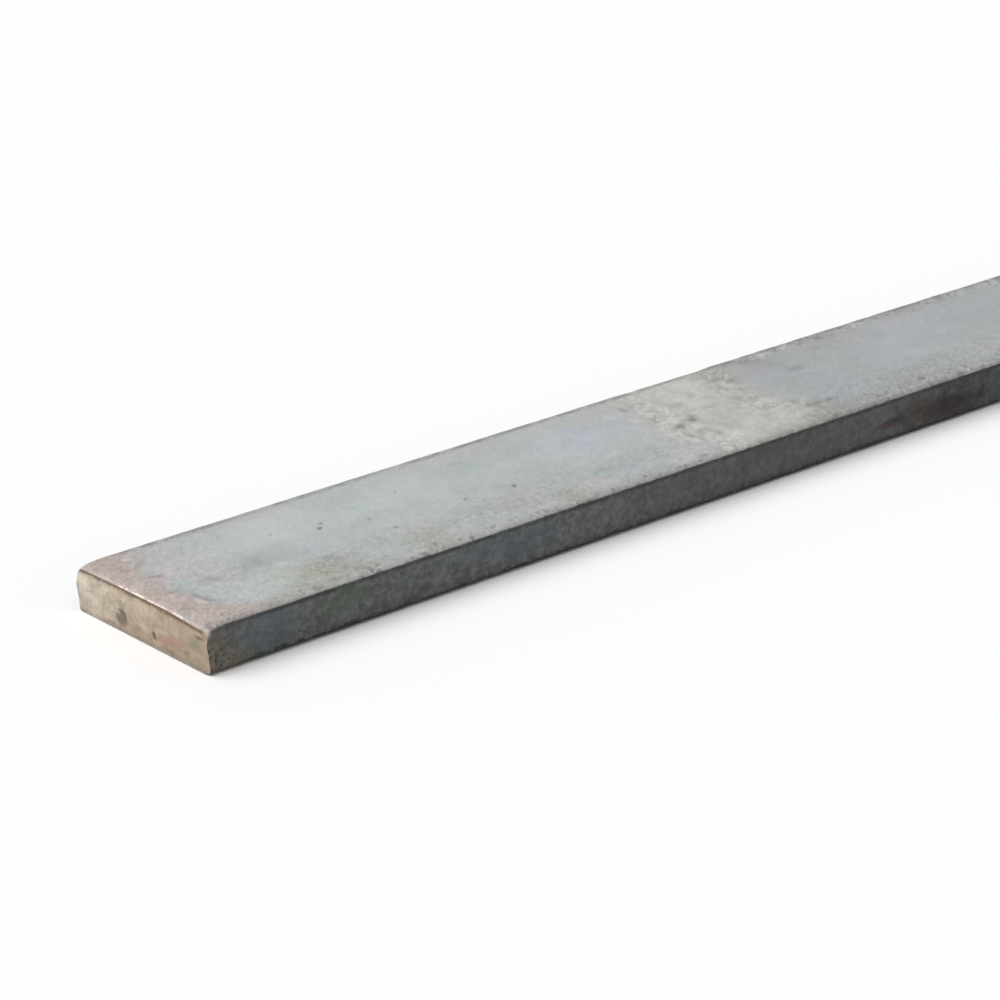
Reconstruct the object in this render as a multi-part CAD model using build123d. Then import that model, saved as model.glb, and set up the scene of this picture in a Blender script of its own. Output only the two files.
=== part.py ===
from build123d import *
import os

# A hot-rolled mild steel flat bar, cut to its stock length in a bar shear.
#
# The bar is one piece of steel. Its section is a flat with small round corners, and its narrow edges bow
# out a little, because no roll presses on them in the last pass. Each end shows how a shear cuts. The face
# that the blade enters rolls over towards the cut and its two corners are drawn down with it, a smooth land
# follows, below that the steel tears away at a lean, and a thin burr is left at the other face. Bars are
# cropped one after another from a longer length, so the blade enters one end of each bar from above, and
# the other end, which was on the far side of its own cut, from below.
#
# Millimetres. X runs along the bar, Y across its width and Z up through its thickness. The origin is the
# middle of the underside, and the end that the blade enters from above is at -X.

# The rolled section
WIDTH = 25.0  # across the bar, over the bow of both narrow edges
THICKNESS = 6.0
CORNER_RADIUS = 0.9
EDGE_BOW = 0.04  # how far the middle of a narrow edge stands out from its corners

# The stock length, over the furthest points of both ends
LENGTH = 1000.0

# What the shear leaves on an end, from the face that the blade enters down to the other one
ROLLOVER_LENGTH = 3.2  # how far in from the end the face starts to turn down
ROLLOVER_DROP = 0.75  # how far down the rolled edge meets the smooth land
DRAWN_CORNER_RADIUS = 1.6  # what the corner radius beside the rollover has grown to at the cut
LAND_HEIGHT = 1.85
LAND_LEAN = 0.35  # the land's top is this far in from its foot, the end's furthest point
TEAR_LEAN = 0.36  # the torn face's foot is this far in from its top
TEAR_HOLLOW = 0.05  # how far the torn face dips behind a straight line between its ends
BURR_HEIGHT = 0.3
BURR_REACH = 0.12  # the burr's tip stands this far out from the foot of the torn face


def rolled_section(top_corner_radius=CORNER_RADIUS):
    """The bar's section, as a face in the plane x = 0: two flats, two bowed edges and four round corners."""
    corner_y = WIDTH / 2 - EDGE_BOW
    near_edge = ThreePointArc((-corner_y, 0), (-WIDTH / 2, THICKNESS / 2), (-corner_y, THICKNESS))
    far_edge = ThreePointArc((corner_y, 0), (WIDTH / 2, THICKNESS / 2), (corner_y, THICKNESS))
    underside = Line((-corner_y, 0), (corner_y, 0))
    top = Line((-corner_y, THICKNESS), (corner_y, THICKNESS))
    outline = make_face([underside, far_edge, top, near_edge])
    outline = fillet(outline.vertices().sort_by(Axis.Y)[-2:], top_corner_radius)
    outline = fillet(outline.vertices().sort_by(Axis.Y)[:2], CORNER_RADIUS)
    return Plane.YZ * outline


def half_turn(shape):
    """A shape of the end at -X turned half a turn about the middle of the bar, to serve the end at +X."""
    middle = Pos(0, 0, THICKNESS / 2)
    return middle * Rot(0, 180, 0) * middle.inverse() * shape


def rolled_bar():
    """The section run along the whole length, with the corners drawn down beside the rollover of each end."""
    inner_section = Pos(ROLLOVER_LENGTH - LENGTH / 2, 0, 0) * rolled_section()
    cut_section = Pos(-LENGTH / 2, 0, 0) * rolled_section(DRAWN_CORNER_RADIUS)
    near_stretch = loft([inner_section, cut_section], ruled=True)
    middle_stretch = extrude(rolled_section(), amount=LENGTH / 2 - ROLLOVER_LENGTH, both=True)
    return middle_stretch + near_stretch + half_turn(near_stretch)


def sheared_edge():
    """One cut end seen from the side, as a chain of edges in the plane y = 0, for the end at -X.

    The blade enters this end from above, so the chain starts on the top face and ends on the underside.
    """
    end_x = -LENGTH / 2
    land_top = (end_x + LAND_LEAN, THICKNESS - ROLLOVER_DROP)
    land_foot = (end_x, THICKNESS - ROLLOVER_DROP - LAND_HEIGHT)
    tear_foot = (end_x + TEAR_LEAN, BURR_HEIGHT)
    burr_tip = (end_x + TEAR_LEAN - BURR_REACH, 0)

    rollover = EllipticalCenterArc(
        center=(end_x + ROLLOVER_LENGTH, THICKNESS - ROLLOVER_DROP),
        x_radius=ROLLOVER_LENGTH - LAND_LEAN,
        y_radius=ROLLOVER_DROP,
        start_angle=90,
        arc_size=90,
    )
    land = Line(land_top, land_foot)
    tear_middle = (
        (land_foot[0] + tear_foot[0]) / 2 + TEAR_HOLLOW,
        (land_foot[1] + tear_foot[1]) / 2,
    )
    tear = ThreePointArc(land_foot, tear_middle, tear_foot)
    burr = Line(tear_foot, burr_tip)
    return [Plane.XZ * edge for edge in (rollover, land, tear, burr)]


def side_outline():
    """The whole bar seen from its narrow edge, as a face in the plane y = 0, with both sheared ends."""
    near_end = sheared_edge()
    far_end = [half_turn(edge) for edge in near_end]
    top = Line(far_end[-1] @ 1, near_end[0] @ 0)
    underside = Line(near_end[-1] @ 1, far_end[0] @ 0)
    return make_face([*near_end, underside, *far_end, top])


def flat_bar():
    """The rolled bar, cut to the side outline across its whole width."""
    between_the_cuts = extrude(side_outline(), amount=WIDTH, both=True)
    return rolled_bar() & between_the_cuts


os.makedirs("parts", exist_ok=True)
export_step(flat_bar(), "parts/flat_bar.step")
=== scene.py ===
import math

import bpy
from mathutils import Matrix, Vector, noise


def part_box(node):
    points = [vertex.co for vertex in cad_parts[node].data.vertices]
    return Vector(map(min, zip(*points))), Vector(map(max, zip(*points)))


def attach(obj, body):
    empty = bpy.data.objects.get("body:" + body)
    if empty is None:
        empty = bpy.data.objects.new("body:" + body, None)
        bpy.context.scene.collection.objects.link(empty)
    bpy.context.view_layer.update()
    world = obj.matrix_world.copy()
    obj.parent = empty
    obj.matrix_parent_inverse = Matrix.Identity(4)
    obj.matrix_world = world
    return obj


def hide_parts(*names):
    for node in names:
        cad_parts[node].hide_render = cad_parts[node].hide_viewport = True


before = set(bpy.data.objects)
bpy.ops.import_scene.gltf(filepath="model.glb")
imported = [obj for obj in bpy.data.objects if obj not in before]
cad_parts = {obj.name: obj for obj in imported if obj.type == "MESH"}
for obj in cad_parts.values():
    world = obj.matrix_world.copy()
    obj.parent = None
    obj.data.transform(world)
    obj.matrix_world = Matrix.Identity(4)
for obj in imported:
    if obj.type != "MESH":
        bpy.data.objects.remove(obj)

# A hot-rolled steel flat bar, dressed: mill scale with rust and flaked places on the rolled faces, and bare
# sheared steel on both ends. The bar lies along X, with its cut ends at -X and +X. Sizes of the bar are in
# millimetres, and turned into metres where the mesh is made.
MM = 0.001
SEEN = 136  # the photograph shows this much of the bar, from the end at -X

# The rolled section and the length, as the CAD solid has them
CAD_LOW, CAD_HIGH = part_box("flat_bar")
LENGTH = (CAD_HIGH.x - CAD_LOW.x) / MM
WIDTH = (CAD_HIGH.y - CAD_LOW.y) / MM
THICKNESS = (CAD_HIGH.z - CAD_LOW.z) / MM
CORNER_RADIUS = 0.9
EDGE_BOW = 0.04

# The sheared ends, also as in the solid
ROLLOVER_LENGTH = 3.2
ROLLOVER_DROP = 0.75
LAND_HEIGHT = 1.85
LAND_LEAN = 0.35
TEAR_LEAN = 0.36
TEAR_HOLLOW = 0.05
BURR_HEIGHT = 0.3
BURR_REACH = 0.12

# What only the dressed ends have: the rim of the cut is highest in the middle and sags at both corners,
# more at the near one, and all corners but that one are pressed squarer
RIM_RISE = 0.24
NEAR_CORNER_SAG = 0.36
FAR_CORNER_SAG = 0.14
SAG_FROM = 3.5  # how far from the middle of the bar the rim starts to sag
CORNER_PULL = 0.16  # how far the near drawn-down corner is pulled in towards the middle of the bar
PULLED_WIDTH = 2.5  # how much of the section, from the near edge, is pulled in with it
NEAR_LOW_SQUARENESS = 0.62
FAR_LOW_SQUARENESS = 0.85
FAR_HIGH_SQUARENESS = 0.35
DRAWN_FROM = 2.4  # the height above which the narrow edges are drawn down with the rollover
GROOVE_DEPTH = 0.1  # the line that the blade's first bite leaves under the rim
GROOVE_WIDTH = 0.3
GROOVE_BELOW_RIM = 0.03
GROOVE_STOPS = (-11.7, -11)  # the groove gives out between these places across the bar
DENT_DEPTH = 0.1
LAND_WAVER = 0.22  # how far the foot of the land goes up and down across the bar
LAND_SCORES = 0.012
TEAR_ROUGHNESS = (0.06, 0.035)  # the coarse and the fine relief of the torn face
BURR_WAVER = 0.04
END_SEEDS = {-1: 0.37, 1: 12.91}  # what makes the relief of the two ends different

# How finely the mesh is divided
FACE_STEPS = 54  # across a wide face between its corners
EDGE_STEPS = 10  # up a narrow edge between its corners
ARC_STEPS = 6  # round a corner
END_DETAIL = 2  # the end stretches have this many points for each step
END_STRETCH = 6  # how far in from a cut the section is divided more finely
ROLLOVER_ROWS = 14
COARSE_SPACING = 5.2
FINE_STRETCHES = (  # from, to and spacing of the rows, measured from the end at -X
    (6, 78, 0.75), (78, 106, 0.4), (106, 141, 0.75), (306, 327, 1), (556, 600, 1.2), (838, 858, 1),
    (990, 994, 1),
)

# The flaked place that the photograph shows: its left and right rims as (across the bar, from the end)
FLAKED_LEFT = (
    (-12.5, 81.6), (-10.7, 81.7), (-8.5, 82.6), (-6.6, 80.4), (-4.4, 79.5), (-2.6, 80.4), (1, 81.3),
    (3.8, 82.2), (10.2, 83), (12.5, 83.2),
)
FLAKED_RIGHT = (
    (-12.5, 101.6), (-9.8, 102.6), (-7.3, 104.4), (-5.7, 102.4), (-4.4, 99.9), (-0.7, 99.2), (2.4, 100.1),
    (6.5, 101.3), (10.2, 102.6), (12.5, 103),
)
FLAKE_DEPTH = 0.045
FLAKE_READ = 6  # how far from its rim a flaked place is read
FLAKE_KEPT_OFF = 5  # how much further out of a flaked place a narrow edge counts
OTHER_TOP_FLAKES = ((311, 322), (561, 595), (842, 853))
UNDERSIDE_FLAKES = ((58, 66), (309, 324), (563, 581), (845, 850), (130, 137))

# The relief of the scale
WAVE_DEPTH = 0.012
CRUMB_DEPTH = 0.025  # the roughness inside a flaked place
ROLLED_IN_DEPTH = 0.05  # hollows where loose scale was rolled in
NICK_DEPTH = 0.12  # nicks round the corners of the section

# How far the rust beside the cut reaches, as (across the bar, from the end)
RUST_RIM = (
    (-12.5, 7.8), (-10, 6.6), (-6.6, 5.8), (-5.3, 5.1), (-0.7, 4.6), (3.8, 5.1), (8.4, 6.5), (12.5, 7),
)
# Soft marks on the top face, as (from the end, across the bar, reach along, reach across, strength)
RUST_MARKS = (
    (20.6, -7.8, 4, 3, 1.25), (17.6, -10.6, 3, 1.6, 0.8), (24.5, -10.2, 3, 1.6, 0.8),
    (34.6, -9.6, 4.6, 2.8, 0.8), (36.4, -7.4, 2.4, 1.6, 0.6), (12, -11.3, 7, 1.2, 1),
    (6.5, -10.4, 1.6, 1.4, 0.7), (57.3, -9.6, 2.8, 2.2, 0.9), (56.2, -11.7, 1.3, 1.2, 1.2),
    (52, -9.4, 1.4, 0.8, 0.5), (84.4, 8.6, 1.4, 1.1, 0.9), (81.4, -3, 1, 1.4, 0.8),
    (101.5, -6.2, 2.2, 1, 0.6),
)
BLUSH_MARKS = (
    (8.5, 3, 4.5, 5, 1), (10.5, -2, 3.5, 2.4, 0.8), (6, 9, 4, 2.2, 0.8), (3, -10, 3, 2.4, 0.8),
    (20, 10.6, 7, 1.2, 0.8), (25, 9.8, 3, 1.4, 0.5), (20.2, 3.4, 1.6, 1, 0.6), (32, 7.6, 1.4, 1.4, 0.5),
    (36.6, -5.6, 3, 1.6, 1.3), (24.6, -5.6, 2, 2, 0.8), (49, 10.4, 5, 1.3, 1), (58.5, 9.6, 3, 1.8, 1),
    (57.6, 4.8, 1.6, 1.2, 0.5), (70.5, 10.4, 3.5, 1.2, 0.9), (78.5, 9, 3, 1.8, 1),
    (51.5, -7.2, 3.6, 3, 1.3), (62.5, -8.8, 3, 2, 1.1), (77.5, -8.4, 3.4, 2.4, 1.1),
    (80.3, 3, 1.4, 5, 0.9), (83, 9.4, 2.2, 1.8, 1.2), (104.8, 8.8, 4.5, 2.8, 1.3),
    (101, 0, 1.6, 2.4, 0.9), (120.6, 10, 5.2, 2.3, 1.5), (126, 9.4, 2.6, 2, 0.9),
    (121.5, -9.8, 5.5, 2, 1.4), (104.6, -9.4, 3.2, 1.8, 1.1), (135, 9.5, 3, 2.8, 1.1), (136, -7, 3, 3, 1),
)
TINT_MARKS = (
    (7, 6, 1.2, 2.5, 0.9), (11, -7, 4, 3, -0.9), (16.3, -5.5, 2.4, 2.6, -1.6), (13.5, 7, 5, 4, -0.5),
    (33, 4, 14, 6, -0.7), (29, -6, 7, 3, -0.8), (46, -5, 6, 3, -0.6), (52, 5, 9, 5, -0.5),
    (60, -3, 14, 3, -0.4), (54.6, -8.4, 1.6, 0.9, 1.2), (73, 3.6, 3.6, 3, 1.5), (69.5, 1, 3.4, 2.2, 1.1),
    (71.6, 6.6, 1.5, 1.2, 1), (79.6, 3.4, 1, 1.6, 1.3), (76.5, 8.6, 3, 1.8, -1),
    (76.8, 0.2, 2.4, 2.4, -0.6), (104.2, -2.6, 2.6, 2, -1.3), (103.6, 4, 2.6, 2.6, 0.8),
    (115, 4.4, 4.6, 3.6, -1.3), (111.6, -9, 3.4, 2.2, -0.9), (108, -5.6, 4, 3, 0.9), (122, 0, 8, 5, 0.9),
    (120.4, -5.4, 2.4, 1.4, 1.1), (130.5, -5.4, 3.2, 2.6, -1.6),
)
TONE_MARKS = (
    (20, 6, 10, 5, 0.5), (40, 5, 10, 5, 0.4), (17.5, -1, 5.5, 2.6, -0.4), (15.5, -1, 1.3, 1, -1),
    (14, -2.2, 1.2, 0.6, -0.6), (17, 0.5, 1.2, 0.6, -0.7), (20.6, 1.3, 1.5, 0.6, -0.7),
    (17.6, -3.6, 0.8, 0.7, 1), (9, -1.9, 2, 0.8, -0.6), (10, 1, 4, 6, 0.25), (70, -6.5, 8, 3, -0.25),
    (5, 3, 0.6, 0.4, -0.9), (20.5, -8, 4, 3.4, -0.5), (22.2, -2.4, 0.6, 0.6, -1),
    (24.2, -3.4, 1, 0.5, -0.7), (23.4, -5.4, 1.1, 0.6, -1.4), (25, -6.8, 1.6, 0.7, -0.6),
    (29, -5.6, 5, 3, -0.5), (34.4, -9, 3.6, 2.6, -0.3), (33.2, 0.4, 0.8, 0.5, -0.6),
    (43.6, -7.4, 1, 0.5, 1), (45, -7, 7, 3, -0.6), (54, -7, 6, 3, -0.4), (51.8, -7.2, 0.8, 0.5, -0.9),
    (67, -5.5, 9, 3.6, -0.5), (64.6, -6.4, 0.8, 0.6, -1.1), (70, -11.2, 12, 1.6, -0.6),
    (70.2, -3.4, 1, 0.5, 1.1), (78.4, 6.4, 0.7, 0.6, 1.3), (80.4, 3.5, 0.7, 0.6, 1),
    (75.6, -11, 1.6, 0.45, 1.3), (78.2, -11, 0.7, 0.5, -1.8), (82, 7.3, 0.5, 1.1, -1.8),
    (83.4, -1.7, 0.75, 0.8, -3.4), (86.3, -0.9, 0.8, 0.7, -3.4), (87.2, 0.3, 0.6, 0.7, -2),
    (84.5, 4.6, 0.9, 0.7, -1.5), (84.6, 2.4, 0.7, 0.5, -1.1), (88.9, 4.4, 0.9, 0.6, -1.2),
    (84.5, -4.4, 1.2, 0.5, -1.6), (85.7, -6.6, 0.7, 0.7, -1.8), (82.4, -5.8, 0.5, 1.9, -1.6),
    (84, -8.8, 1, 0.6, 1), (84.8, 0.8, 0.6, 0.6, 0.9), (81.3, -6.6, 0.5, 1, 1), (80.2, -3.6, 0.5, 1.6, 1),
    (88.4, 1.6, 2.2, 0.3, -0.9), (92.5, 1.1, 2, 0.3, -0.9), (96.6, 1.3, 1.6, 0.35, -0.8),
    (98.3, 7.5, 1.1, 0.5, -1.6), (97, 4.6, 0.8, 0.5, -1.3), (98.6, 3.2, 0.8, 0.5, -1.4),
    (100.4, 6.2, 0.6, 0.9, -1.4), (104.6, -7.3, 0.9, 0.45, -2.6), (102.6, -7, 1.4, 0.5, -1.2),
    (101.2, -7.4, 1.8, 0.6, -0.9), (95, -11.6, 9, 0.8, -1.3), (110.2, 3.8, 1.6, 1, -1.5),
    (117.4, 7.7, 0.8, 0.6, -1.2), (110.6, 10.7, 1.3, 0.8, 2.2), (114.6, 10.9, 1.1, 0.8, 1.9),
    (107, 9.6, 1.4, 0.8, -1.2), (128.6, 10.9, 1.6, 0.8, 1.2), (121, 9.8, 2, 0.9, -0.8),
    (115, -9.8, 12, 2.4, -0.5), (106, 0, 5, 6, -0.4), (126.2, -7.6, 0.9, 0.5, 1.4),
)
# Short dark strokes where the scale lifts, and pale ones that are painted highlights on the lifted scale,
# as (from the end, across the bar, the same two for the other end of the stroke, half width, strength)
TONE_STROKES = (
    (3.1, -1.9, 4.3, -1.6, 0.4, -1.2), (4.8, -2.2, 4.7, -3.2, 0.4, -0.8),
    (4.7, -3.9, 4.8, -5, 0.45, -1.5), (4.9, -6, 5.7, -7.1, 0.5, -1.6), (4, -5.2, 4.2, -6.4, 0.35, 2),
    (2.7, -2.2, 2.8, -2.8, 0.35, 1.6), (1.2, -5.8, 2.4, -6.9, 0.3, -1.4), (4, 3.4, 5.2, 3, 0.3, -1.8),
    (4.2, 6.6, 6.7, 8.3, 0.3, -1.2), (4.8, 9.5, 5.4, 9.2, 0.3, 1.5), (2.4, 6.8, 3.2, 6.6, 0.3, -1.6),
    (8.5, -1.2, 9.7, -2.3, 0.5, -1.1), (14.7, -9.6, 15.9, -9.8, 0.45, -1.2),
    (19.2, -11, 20.5, -11.2, 0.45, -1.8), (19.8, -10.2, 20.8, -10.3, 0.4, 1.2),
    (23.3, -10.4, 24.2, -10.6, 0.45, -1.6), (27.5, -9.9, 28.9, -9.9, 0.45, -1.2),
    (31.1, -11, 32.2, -11.4, 0.4, 1.4), (34, -3.4, 35.4, -4.1, 0.4, -0.8),
)
DARKER_FROM, DARKER_TO = 94, 106  # between these the scale gets a little darker
TONE_SHARE = 0.17  # how much lighter or darker a mark of strength 1 makes the scale

# Marks on the narrow edge in view, as (from the end, height, reach along, reach up, strength)
EDGE_RUST = (
    (116.2, 3.4, 2.6, 1.6, 1.2), (118.6, 2.4, 2.4, 1.4, 1.1), (57, 5.5, 2.4, 0.5, 0.8),
    (3.6, 3, 2, 0.9, 0.36),
)
EDGE_PURPLE = (
    (14.8, 2.2, 4.6, 1.5, 0.4), (25, 3.2, 3, 2.4, 0.42), (38.2, 2.4, 4, 1.6, 0.42),
    (111.6, 2.6, 2.8, 0.6, 1.3), (121.4, 2.4, 3.6, 1.3, 1.3), (124.6, 1.3, 2.4, 0.8, 1),
)
EDGE_TINT = (
    (8.8, 3, 4, 2.4, 1.4), (29, 3, 3, 1.6, 0.5), (35, 3.4, 1.6, 1.4, 0.6), (42.5, 4.2, 5, 1.4, 1),
    (46.5, 2.2, 3, 1.2, 0.9), (51, 4, 2, 1.2, 0.8), (111.8, 4.7, 2.4, 1, 0.9), (3, 4.9, 2, 0.9, -0.8),
    (17.5, 3.6, 2.6, 1.6, -0.7), (20.5, 3.9, 2.2, 1.6, -1.3), (29.6, 1.2, 2.6, 0.7, -1),
    (86.5, 5, 4, 0.9, -0.9),
)
EDGE_TONE = (
    (2, 3, 3, 4, -0.6), (29.6, 1.1, 2, 0.5, -1.6), (38, 3, 5, 3, 0.4), (43, 2, 0.9, 0.4, 1.8),
    (84, 3, 16, 4, -0.25), (24.6, 4.4, 1.4, 0.8, 0.8), (60, 3.6, 2, 1, 0.7), (90, 2, 12, 3, -0.3),
    (112.8, 2.6, 1.4, 0.6, -1.8), (117, 2.6, 5, 2.4, -2.2), (122, 3, 4, 2.4, -2.2), (129, 3, 6, 4, -3),
    (121.6, 3.4, 1.2, 0.4, -0.8), (124.5, 2.7, 1.1, 0.6, -2.4), (125.7, 4.7, 1.2, 0.4, -0.8),
    (127.2, 2.8, 0.9, 0.6, -1.6), (128.6, 2.8, 0.6, 0.8, -2),
)

GRAIN_SLANT = 41.5  # degrees from across the bar: the way in which the scale's fine texture is drawn out

# Pits in the top face, as (from the end, across the bar, radius, depth of colour)
PITS = (
    (27.7, 2, 0.42, 1), (28.8, 3.1, 0.34, 0.8), (34, 0.4, 0.3, 0.45), (34.7, -3.7, 0.34, 0.5),
    (34.9, -10.7, 0.45, 0.8), (46.7, -2.5, 0.36, 0.7), (54, -3.1, 0.4, 1), (22.2, 4.3, 0.3, 0.4),
    (41.8, 5, 0.26, 0.4), (25.9, -10.9, 0.3, 0.5),
)

# Marks on a cut face, as (across the bar, height, reach across, reach up, strength)
END_STAINS = (
    (4, 1.55, 0.95, 0.95, 0.85), (3.75, 2.25, 0.72, 0.85, 1), (3.7, 3.45, 0.7, 0.55, 0.45),
    (-2.2, 1.65, 0.42, 0.45, 1.05), (-2.3, 2.8, 0.16, 0.6, 0.4), (-5.9, 2.75, 0.65, 0.25, 0.22),
    (-7.9, 1.4, 0.9, 0.3, 0.3), (-4.8, 0.62, 1.2, 0.2, 0.5), (6.2, 0.5, 0.9, 0.2, 0.5),
    (2.8, 5.2, 0.5, 0.16, 0.9), (-4.1, 5, 0.7, 0.2, 0.5),
)
DENTS = END_STAINS[:5]  # those of them that are hollow
OTHER_END_SHIFT = -4.3  # the end at +X has the same marks turned about and moved along by this much
END_BLUSH = ((-5.4, 2, 1.6, 0.4, 1), (-3.6, 1.3, 1.2, 0.35, 0.9), (-7.4, 2.6, 1.4, 0.35, 0.7))
END_BROWN = (-10.8, 4.2, 0.9, 0.16, 1)
END_GREEN = (-10.2, 3.1, 1.2, 0.95, 1)
# Where the lip of the rollover is rubbed bare and carries a painted highlight, in the same form, with a
# noise in place of the height
RUBBED_LIP_HIGHLIGHTS = (
    (3.7, 0, 0.85, 1, 1), (1, 0, 1.15, 1, 1), (-1.5, 0, 0.6, 1, 1), (-3.3, 0, 1.5, 1, 0.6),
    (-6.6, 0, 0.95, 1, 0.9),
)

# The flattened sheet for the surface: the rolled faces in strips one above the other, the cuts beside them
STRIPS = 4
STRIP_LENGTH = LENGTH / STRIPS
GIRTH = 2 * (WIDTH + THICKNESS)  # just over the way once round the section
SHEET_GAP = 1.2
SHEET = 262  # the side of the whole sheet
CUT_SHIFT = 5  # how far beside the strips the cuts lie
CUT_SQUEEZE = 0.95  # the cuts lean, and this makes up for it
SHARP_ANGLE = 38  # degrees between faces from which their common edge is shown sharp

# The camera, as fitted to the bar's outlines in the photograph, with its place in metres
CAMERA_PLACE = (-0.7217, -0.3122, 0.1704)
CAMERA_HEADING = -41.49  # degrees about Z, where 0 looks along +Y
CAMERA_TILT = 21.87  # degrees below the horizon
CAMERA_LENS = 131.98
CAMERA_SENSOR = 36
CAMERA_CLIP = (0.01, 50)

# The studio
SUN_FROM = (-0.5, 0.2, 0.84)
SUN_STRENGTH = 2.3
SUN_ANGLE = 60
SKY_STRENGTH = 0.4
FLOOR_WHITE = 0.97
FLOOR_REACH = 4  # metres from the middle of the bar
FLOOR_GAP = 0.02  # how far the floor lies below the bar's underside, so that the two don't flicker


def ease(value, low, high):
    """0 up to low, 1 from high on, and a smooth climb between them."""
    share = min(1.0, max(0.0, (value - low) / (high - low)))
    return share * share * (3 - 2 * share)


def along(points, where):
    """Reads a line drawn through points, each (place, value), at one place."""
    for (first, value), (last, next_value) in zip(points, points[1:]):
        if where <= last:
            share = max(0.0, (where - first) / (last - first))
            return value + (next_value - value) * share
    return points[-1][1]


def ripple(x, y, z, size, seed=0.0):
    """Smooth noise from -1 to 1 whose bumps are about as large as size."""
    return noise.noise(Vector((x / size + seed, y / size - seed, z / size + 2 * seed)))


def spots(marks, place, across):
    """Adds up soft oval marks at one point of a face."""
    total = 0.0
    for mark_place, mark_across, reach_along, reach_across, strength in marks:
        far = ((place - mark_place) / reach_along) ** 2 + ((across - mark_across) / reach_across) ** 2
        if far < 6:
            total += strength * math.exp(-far)
    return total


def strokes(marks, place, across):
    """Adds up soft straight strokes at one point of a face."""
    total = 0.0
    for first_place, first_across, last_place, last_across, half_width, strength in marks:
        run = last_place - first_place
        rise = last_across - first_across
        share = ((place - first_place) * run + (across - first_across) * rise) / (run * run + rise * rise)
        share = min(1.0, max(0.0, share))
        far = math.hypot(place - first_place - share * run, across - first_across - share * rise)
        if far < 2.5 * half_width:
            total += strength * math.exp(-((far / half_width) ** 2))
    return total


# The rolled section


def section_outline(detail):
    """Points once round the section, each (y, z, facing) with facing in degrees, 90 being up.

    They start half way round the corner under the near edge and go up that edge, over the top, down the far
    edge and back along the underside.
    """
    half_flat = WIDTH / 2 - EDGE_BOW - CORNER_RADIUS
    low, high = CORNER_RADIUS, THICKNESS - CORNER_RADIUS
    centres = ((-half_flat, low), (-half_flat, high), (half_flat, high), (half_flat, low))
    arc = ARC_STEPS // 2 * detail
    outline = []
    for side, steps in enumerate((EDGE_STEPS, FACE_STEPS) * 2):
        facing = 180 - 90 * side
        first, last = centres[side], centres[(side + 1) % 4]
        flat = steps * detail
        turns = [(facing + 45 * (1 - i / arc), first) for i in range(arc)]
        for i in range(flat):
            share = i / flat
            turns.append((facing, [here + (there - here) * share for here, there in zip(first, last)]))
        turns += [(facing - 45 * i / arc, last) for i in range(arc)]
        for angle, (y, z) in turns:
            y += CORNER_RADIUS * math.cos(math.radians(angle))
            z += CORNER_RADIUS * math.sin(math.radians(angle))
            bow = EDGE_BOW * (1 - (2 * z / THICKNESS - 1) ** 2)
            outline.append((y + math.copysign(bow, y), z, angle))
    return outline


def round_corner(y, z):
    """Millimetres from the nearest corner's middle: below 0 on a wide face, above 0 on a narrow edge."""
    return min(z, THICKNESS - z) - (WIDTH / 2 - abs(y))


# The sheared ends, seen with the rolled-over side up: the end at +X is turned over to be worked out


def marks_across(y, end):
    """Where a point across the bar lies among the marks of a cut; the end is -1 or 1."""
    return y if end < 0 else OTHER_END_SHIFT - y


def rim_drop(y):
    """How far below the wide face the rim of the cut lies, at one place across the bar."""
    sag = NEAR_CORNER_SAG if y < 0 else FAR_CORNER_SAG
    return ROLLOVER_DROP - RIM_RISE + sag * ease(abs(y), SAG_FROM, WIDTH / 2)


def cut_depth(y, z, end):
    """How far in from the furthest point of an end its cut lies, at one place across and one height."""
    seed = END_SEEDS[end]
    rim = THICKNESS - rim_drop(y)
    foot = THICKNESS - ROLLOVER_DROP - LAND_HEIGHT + LAND_WAVER * ripple(y, 0, 0, 2.6, seed)
    if z >= foot:
        share = min(1.0, (z - foot) / (rim - foot))
        depth = LAND_LEAN * share
        depth += LAND_SCORES * (1 + ripple(y, 0, z * 0.1, 0.5, seed)) * (1 - share)
    elif z >= BURR_HEIGHT:
        share = (foot - z) / (foot - BURR_HEIGHT)
        depth = TEAR_LEAN * share + TEAR_HOLLOW * 4 * share * (1 - share)
        coarse, fine = TEAR_ROUGHNESS
        rough = coarse * ripple(y, 0, z, 1.1, seed + 5) + fine * ripple(y, 0, z, 0.45, seed + 9)
        depth += rough * ease(share, 0, 0.25)
    else:
        depth = TEAR_LEAN - BURR_REACH * (1 - z / BURR_HEIGHT)
        depth += BURR_WAVER * (1 + ripple(y, 0, 0, 0.8, seed + 3))
    groove = 1 - abs(rim - GROOVE_BELOW_RIM - GROOVE_WIDTH / 2 - z) / (GROOVE_WIDTH / 2)
    if groove > 0:
        groove *= ease(y, *GROOVE_STOPS)
        depth += GROOVE_DEPTH * groove * (0.75 + 0.25 * ripple(y, 0, 0, 1.2, seed + 7))
    return depth + DENT_DEPTH * spots(DENTS, marks_across(y, end), z)


def pressed(share, squareness):
    """How far a point moves out when its corner is pressed squarer; its share of the way out is 0 to 1."""
    return CORNER_RADIUS * (min(share, 1.0) ** (1 - squareness) - share)


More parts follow.
